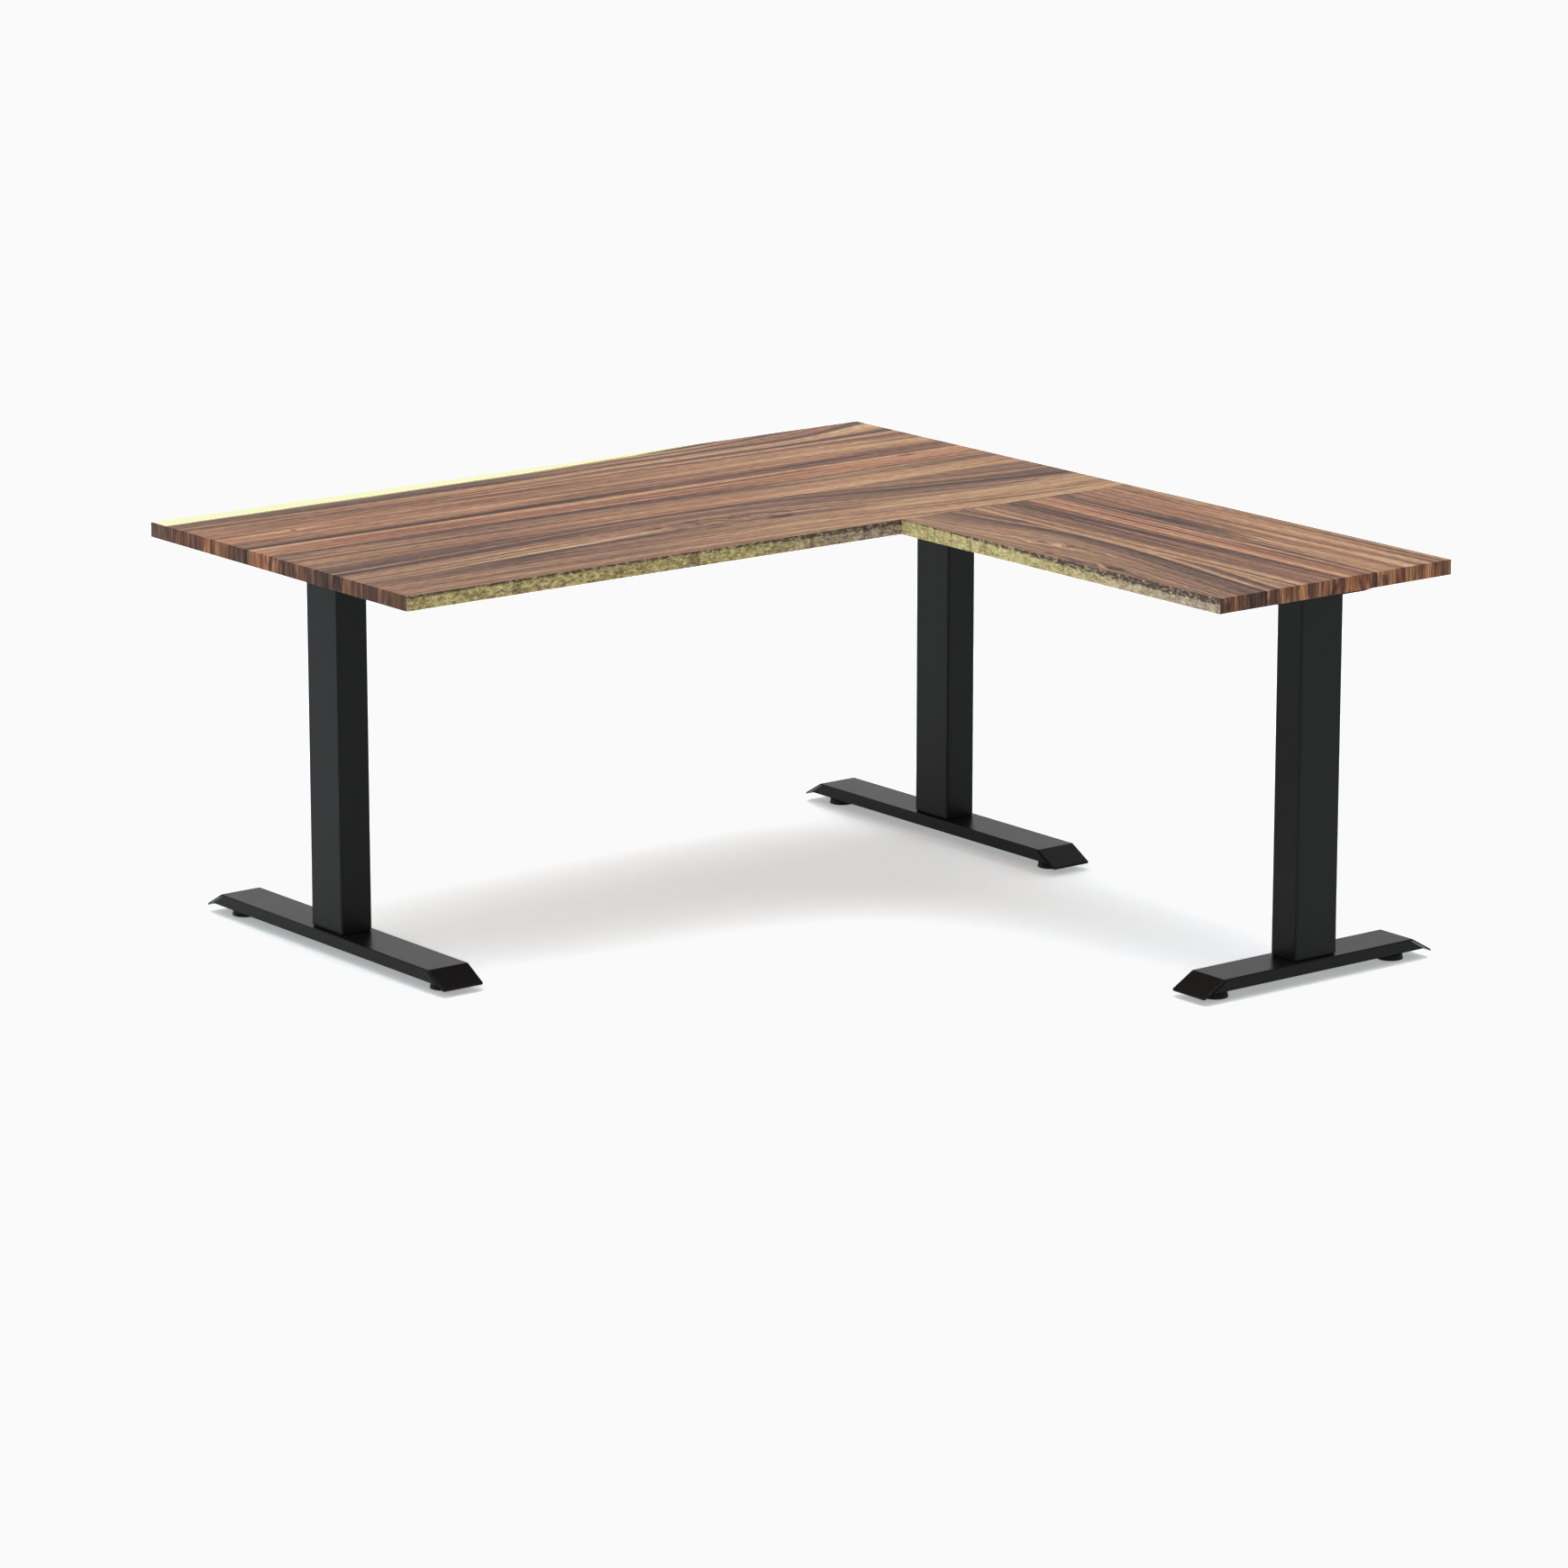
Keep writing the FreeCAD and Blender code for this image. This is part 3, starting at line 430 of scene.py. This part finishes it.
def end_grain(grain, colour, end, shade):
    """Cut ends soak up more oil: darker and richer, with finer streaks; end is 1 on an end face."""
    g = grain.g
    bands = grain.streaks(0.5, 34.0, 2.0, 61.0, 0.6)
    lines = grain.streaks(1.0, 300.0, 3.0, 67.0, 0.7)
    depth = g.add(g.add(g.times(bands, 1.7), g.times(lines, 1.7)), shade)
    soaked = g.mix(g.step(depth, -0.40, 0.45), DRY_END, OILED_END)
    return g.mix(end, colour, g.mix(1.0, colour, soaked, "MULTIPLY"))


# In both tops' tables a place across the grain is in metres from the front or the inner edge.
# Boards: each stave's start, as a share of the width, and its tone. Stripes and flames: low, high,
# shift in tone at the start and at the far end of the top, and soft. Reds: low, high, shift and
# soft. Marks: spot, reach and strength.
MAIN_BOARDS = [
    (0.0, 0.50),
    (0.167, 0.46),
    (0.369, 0.54),
    (0.607, 0.48),
    (0.800, 0.52),
]
MAIN_STRIPES = [
    (0.395, 0.447, 0.14, 0.14, 0.003),
    (0.450, 0.455, 0.22, 0.22, 0.0015),
    (0.460, 0.476, -0.26, -0.20, 0.003),
    (0.278, 0.284, 0.20, 0.20, 0.002),
    (0.480, 0.488, -0.16, 0.0, 0.002),
    (0.386, 0.392, -0.26, 0.26, 0.002),
    (0.325, 0.378, -0.12, 0.0, 0.006),
    (0.575, 0.582, 0.16, 0.0, 0.002),
    (0.092, 0.122, -0.22, 0.0, 0.004),
    (0.288, 0.320, 0.0, 0.10, 0.006),
    (0.495, 0.585, 0.08, 0.22, 0.008),
    (0.606, 0.735, 0.02, 0.10, 0.006),
    (0.006, 0.190, 0.0, 0.19, 0.005),
    (0.060, 0.064, 0.0, -0.25, 0.0015),
    (0.084, 0.088, 0.0, -0.30, 0.0015),
    (0.104, 0.108, 0.0, -0.28, 0.0015),
]
MAIN_FLAMES = [
    (0.262, 0.268, -0.26, -0.20, 0.002),
    (0.244, 0.250, -0.22, -0.16, 0.002),
    (0.290, 0.298, -0.20, -0.20, 0.002),
    (0.322, 0.332, 0.0, -0.16, 0.003),
    (0.232, 0.285, -0.10, -0.09, 0.006),
    (0.160, 0.215, 0.09, 0.08, 0.008),
    (0.306, 0.320, 0.0, 0.12, 0.003),
]
MAIN_REDS = [
    (0.392, 0.455, 0.48, 0.003),
    (0.290, 0.330, 0.18, 0.010),
    (0.490, 0.590, 0.16, 0.010),
    (0.602, 0.680, 0.12, 0.010),
]
MAIN_MARKS = [
    ((0.110, 0.145), (0.030, 0.0080), 0.60),
    ((-0.022, 0.139), (0.030, 0.0050), 0.42),
    ((-0.120, 0.192), (0.024, 0.0055), 0.42),
    ((-0.040, 0.201), (0.022, 0.0050), 0.42),
    ((0.620, 0.444), (0.022, 0.0060), 0.50),
    ((-0.600, 0.548), (0.005, 0.0100), 0.45),
]


def make_main_timber():
    """The main worktop: grain along X, sapwood along its back and front edges."""
    material, g = new_material("main_timber")
    _, (x, y, z) = g.position()
    grain = Grain(g, x, g.subtract(y, MAIN_LOW.y), g.subtract(z, MAIN_LOW.z), 0.0)
    fan = g.times(g.step(x, 0.25, 0.90), g.step(grain.v, 0.57, 0.82))
    grain.bend_by(g.times(fan, -0.110))
    arch = g.add(g.times(g.step(x, 0.00, 0.85), 0.110), g.times(g.step(x, -0.05, -0.80), 0.045))
    grain.flame_stave(0.125, 0.277, arch)
    grain.bend_by(g.times(grain.inside(-0.01, 0.125), g.times(g.step(x, 0.00, 0.70), 0.055)))
    grain.eye((0.02, 0.175), (0.22, 0.045), 0.75)
    far = g.step(x, -0.35, 0.40)
    colour, tone = heartwood(
        grain, MAIN_WIDTH, MAIN_BOARDS, MAIN_STRIPES, MAIN_FLAMES, MAIN_REDS, MAIN_MARKS, far
    )
    upper = g.times(g.step(grain.v, 0.585, 0.615), g.step(x, -0.35, 0.25))
    colour = growth_layers(grain, colour, g.times(upper, 0.95), 0.030)
    colour = growth_layers(grain, colour, g.times(grain.flame, 0.45), 0.017)
    left = g.step(g.subtract(x, MAIN_LOW.x), *EDGE_SKIN)
    colour = main_back_sapwood(g, grain, colour, x, g.subtract(1.0, left))
    right = g.step(g.subtract(MAIN_HIGH.x, x), *EDGE_SKIN)
    shade = g.times(g.step(grain.v, 0.45, 0.20), -0.30)
    colour = end_grain(grain, colour, g.math("MAXIMUM", left, right), shade)
    bark_depth = g.add(0.0045, g.times(g.step(x, -0.15, 0.25), 0.0055))
    face, face_tone = sapwood_face(
        grain, g.step(x, -0.10, 0.25), -0.035, g.subtract(MAIN_HIGH.z, z), bark_depth
    )
    front = g.step(grain.v, *EDGE_SKIN)
    back = g.step(g.subtract(MAIN_HIGH.y, y), *EDGE_SKIN)
    side = g.math("MAXIMUM", front, back)
    finish_timber(grain, g.mix(side, colour, face), blend_tone(g, side, face_tone, tone))
    return material


def growth_layers(grain, colour, strength, spacing):
    """Dark growth layers at a rough spacing, as strong as given."""
    g = grain.g
    wander = g.times(grain.streaks(1.6, 9.0, 1.0, 71.0), 2.2)
    waves = g.math("SINE", g.times(g.add(g.math("DIVIDE", grain.line, spacing), wander), 2 * math.pi))
    dark = g.times(g.step(waves, 0.10, 0.75), strength)
    return g.mix(dark, colour, GROWTH_LAYER)


def main_back_sapwood(g, grain, colour, x, where):
    """The pale strip along the back edge, gone before the corner, with a bark seam inside it."""
    share = g.math("DIVIDE", g.subtract(x, MAIN_LOW.x), MAIN_HIGH.x - MAIN_LOW.x)
    widths = [(0.0, 0.050), (0.30, 0.047), (0.50, 0.042), (0.65, 0.026), (0.78, 0.0)]
    ragged = g.noise(g.vector(g.times(x, 7.0), 0.41, 0.63), detail=4.0, roughness=0.6)
    width = g.times(g.ramp(share, widths), g.add(0.90, g.times(ragged, 0.2)))
    inset = g.subtract(MAIN_WIDTH, grain.v)
    inside = g.subtract(width, inset)
    bark = g.times(g.step(inside, -0.026, -0.008), g.step(x, 0.30, -0.35))
    colour = g.mix(g.times(bark, 0.75), colour, BARK_SEAM)
    place = g.vector(g.times(x, 9.0), g.times(grain.v, 420.0), 0.47)
    fibre = g.noise(place, detail=3.0, roughness=0.65)
    depth = g.step(inside, 0.0, 0.016)
    sap = g.ramp(g.add(g.times(fibre, 0.5), g.times(depth, 0.5)), BACK_SAPWOOD)
    return g.mix(g.times(g.step(inside, -0.0005, 0.0015), where), colour, sap)


RETURN_BOARDS = [
    (0.0, 0.50),
    (0.31, 0.44),
    (0.66, 0.54),
]
RETURN_STRIPES = [
    (0.272, 0.318, 0.08, 0.10, 0.003),
    (0.3200, 0.3250, 0.10, 0.24, 0.0015),
    (0.329, 0.336, -0.26, -0.26, 0.002),
    (0.262, 0.269, -0.26, -0.20, 0.002),
    (0.200, 0.258, -0.12, -0.10, 0.006),
    (0.190, 0.197, -0.14, -0.16, 0.002),
    (0.157, 0.162, 0.20, 0.20, 0.0015),
    (0.339, 0.362, -0.22, -0.04, 0.004),
    (0.366, 0.462, 0.0, 0.15, 0.006),
    (0.395, 0.402, 0.0, -0.14, 0.002),
    (0.467, 0.473, 0.0, 0.22, 0.0015),
    (0.477, 0.486, 0.0, -0.30, 0.002),
    (0.168, 0.186, 0.0, 0.12, 0.004),
]
RETURN_FLAMES = [
    (0.122, 0.150, -0.10, -0.17, 0.005),
    (0.088, 0.102, 0.0, -0.18, 0.003),
    (0.160, 0.172, -0.10, -0.16, 0.002),
    (0.006, 0.080, 0.13, 0.0, 0.005),
    (0.153, 0.157, 0.0, 0.14, 0.0015),
]
RETURN_REDS = [
    (0.270, 0.325, 0.48, 0.003),
    (0.362, 0.475, 0.22, 0.010),
]
RETURN_MARKS = [
    ((0.520, 0.022), (0.026, 0.0090), 0.60),
    ((0.440, 0.011), (0.034, 0.0055), 0.42),
    ((0.360, 0.018), (0.014, 0.0055), 0.42),
    ((0.285, 0.066), (0.014, 0.0055), 0.42),
    ((0.345, 0.078), (0.018, 0.0045), 0.42),
]


def make_return_timber():
    """The return worktop: grain along Y, sapwood along its inner edge."""
    material, g = new_material("return_timber")
    _, (x, y, z) = g.position()
    along = g.subtract(RETURN_HIGH.y, y)
    across = g.subtract(x, RETURN_LOW.x)
    grain = Grain(g, along, across, g.subtract(z, RETURN_LOW.z), 70.0)
    far_arch = g.times(g.step(grain.u, 0.35, 0.90), 0.050)
    arch = g.add(far_arch, g.times(g.step(grain.u, 0.30, -0.05), 0.045))
    grain.flame_stave(-0.01, 0.155, arch)
    grain.eye((0.30, 0.070), (0.15, 0.040), 0.75)
    grain.eye((0.46, 0.012), (0.10, 0.030), 0.80)
    far = g.step(grain.u, 0.15, 0.60)
    colour, tone = heartwood(
        grain, RETURN_WIDTH, RETURN_BOARDS, RETURN_STRIPES, RETURN_FLAMES, RETURN_REDS, RETURN_MARKS, far
    )
    colour = growth_layers(grain, colour, g.times(grain.flame, 0.45), 0.015)
    bark_depth = g.add(0.0015, g.times(g.step(grain.u, 0.0, 0.60), 0.0095))
    face, face_tone = sapwood_face(
        grain, g.step(grain.u, 0.30, 0.75), 0.030, g.subtract(RETURN_HIGH.z, z), bark_depth
    )
    colour = end_grain(grain, colour, g.step(g.subtract(y, RETURN_LOW.y), *EDGE_SKIN), -0.05)
    side = g.step(grain.v, *EDGE_SKIN)
    finish_timber(grain, g.mix(side, colour, face), blend_tone(g, side, face_tone, tone))
    return material


# ---------------------------------------------------------------- metal and plastic
POWDER_BLACKS = ((0.0062, 0.0060, 0.0060), (0.0084, 0.0082, 0.0082))
NYLON_BLACKS = ((0.005, 0.005, 0.005), (0.012, 0.012, 0.012))
ZINC_TINTS = [
    (0.3, (0.42, 0.43, 0.46)),
    (0.5, (0.60, 0.60, 0.60)),
    (0.7, (0.66, 0.63, 0.55)),
]


def make_powder_coat():
    """Matt black powder coat: an even, very fine orange peel with faint cloudiness."""
    material, g = new_material("black_powder_coat")
    spot, _ = g.position()
    peel = g.noise(spot, scale=1500.0, detail=2.0, roughness=0.5)
    cloud = g.noise(spot, scale=9.0, detail=3.0, roughness=0.6)
    colour = g.mix(cloud, *POWDER_BLACKS)
    rough = g.add(0.30, g.times(g.subtract(cloud, 0.5), 0.08))
    g.surface(colour, rough, peel, bump=0.00006, strength=0.4, Specular_IOR_Level=0.10)
    return material


def make_nylon():
    """Black moulded nylon with a soft spark-eroded texture."""
    material, g = new_material("black_nylon")
    spot, _ = g.position()
    grain = g.noise(spot, scale=2200.0, detail=3.0, roughness=0.6)
    scuff = g.noise(spot, scale=60.0, detail=4.0, roughness=0.7)
    colour = g.mix(g.step(scuff, 0.5, 0.8), *NYLON_BLACKS)
    rough = g.add(0.5, g.times(scuff, 0.12))
    g.surface(colour, rough, grain, bump=0.0001, strength=0.6, Specular_IOR_Level=0.22)
    return material


def make_zinc():
    """Bright zinc plate with a faint blue-yellow passivation and dull patches."""
    material, g = new_material("zinc_steel")
    spot, _ = g.position()
    patch = g.noise(spot, scale=180.0, detail=3.0, roughness=0.6)
    colour = g.ramp(patch, ZINC_TINTS)
    rough = g.add(0.22, g.times(patch, 0.22))
    g.surface(colour, rough, patch, bump=0.0001, strength=0.4, Metallic=1.0)
    return material


def dress_frame():
    """Give every carried-over CAD node the finish of its material slot."""
    finishes = {
        "main_timber": make_main_timber(),
        "return_timber": make_return_timber(),
        "black_powder_coat": make_powder_coat(),
        "black_nylon": make_nylon(),
        "zinc_steel": make_zinc(),
    }
    for row in frame["record"]["subparts"]:
        give(finishes[row["material_slot"]], row["node"])


# ---------------------------------------------------------------- floor, light and camera
FLOOR_SIZE = 120.0
FLOOR_DROP = 0.0005
FLOOR_GLOW = 0.33
FLOOR_TINTS = ((0.804, 0.845, 0.871), (0.814, 0.855, 0.881))
SKY_LEVELS = [(0.0, 0.10), (0.30, 0.12), (0.82, 0.165), (0.94, 0.54), (1.0, 1.0)]
SKY_STRENGTH = 4.4
CAMERA_PLACE = (-6.391, -8.220, 2.807)
CAMERA_HEADING = 0.6596
CAMERA_PITCH = 0.2396
CAMERA_LENS = 148.5
NEAR_WHITE = 0.955


def make_floor():
    """A wide matt floor, pale enough to run into the background and just clear of the pads."""
    bpy.ops.mesh.primitive_plane_add(size=FLOOR_SIZE, location=(0, 0, -FLOOR_DROP))
    floor = bpy.context.object
    floor.name = "studio_floor"
    material, g = new_material("studio_floor")
    spot, _ = g.position()
    faint = g.noise(spot, scale=0.8, detail=2.0)
    colour = g.mix(faint, *FLOOR_TINTS)
    glow = {"Emission_Color": (1, 1, 1, 1), "Emission_Strength": FLOOR_GLOW}
    g.surface(colour, 1.0, Specular_IOR_Level=0.0, **glow)
    floor.data.materials.append(material)


def make_sky():
    """A soft dome: brightest overhead, dim near the floor and brighter again behind the desk."""
    world = bpy.data.worlds.new("studio")
    bpy.context.scene.world = world
    world.use_nodes = True
    g = Graph(world.node_tree)
    direction = g.node("ShaderNodeTexCoord").outputs["Generated"]
    split = g.node("ShaderNodeSeparateXYZ")
    g.feed(split.inputs[0], direction)
    overhead = g.ramp(split.outputs[2], SKY_LEVELS)
    behind = g.times(g.step(split.outputs[1], 0.10, 0.85), 0.10)
    level = g.add(overhead, behind)
    background = g.node("ShaderNodeBackground")
    g.feed(background.inputs["Color"], level)
    g.feed(background.inputs["Strength"], SKY_STRENGTH)
    output = g.node("ShaderNodeOutputWorld")
    g.tree.links.new(background.outputs[0], output.inputs["Surface"])


def make_camera():
    """The long view from the front left, a little above the worktops."""
    data = bpy.data.cameras.new("camera")
    data.sensor_width = 36.0
    data.lens = CAMERA_LENS
    data.clip_end = 200.0
    camera = bpy.data.objects.new("camera", data)
    bpy.context.collection.objects.link(camera)
    camera.location = CAMERA_PLACE
    camera.rotation_euler = (math.pi / 2 - CAMERA_PITCH, 0, -CAMERA_HEADING)
    bpy.context.scene.camera = camera


def set_tone():
    """Plain display, with the brightest tones brought up to one near-white level."""
    view = bpy.context.scene.view_settings
    view.view_transform = "Standard"
    view.use_curve_mapping = True
    curve = view.curve_mapping.curves[3]
    for share, level in ((0.50, 0.50), (0.72, 0.68), (0.86, NEAR_WHITE)):
        curve.points.new(share, level).handle_type = "VECTOR"
    curve.points[0].handle_type = "VECTOR"
    curve.points[-1].location = (1.0, NEAR_WHITE)
    curve.points[-1].handle_type = "VECTOR"
    view.curve_mapping.extend = "HORIZONTAL"
    view.curve_mapping.update()


dress_frame()
make_floor()
make_sky()
make_camera()
set_tone()
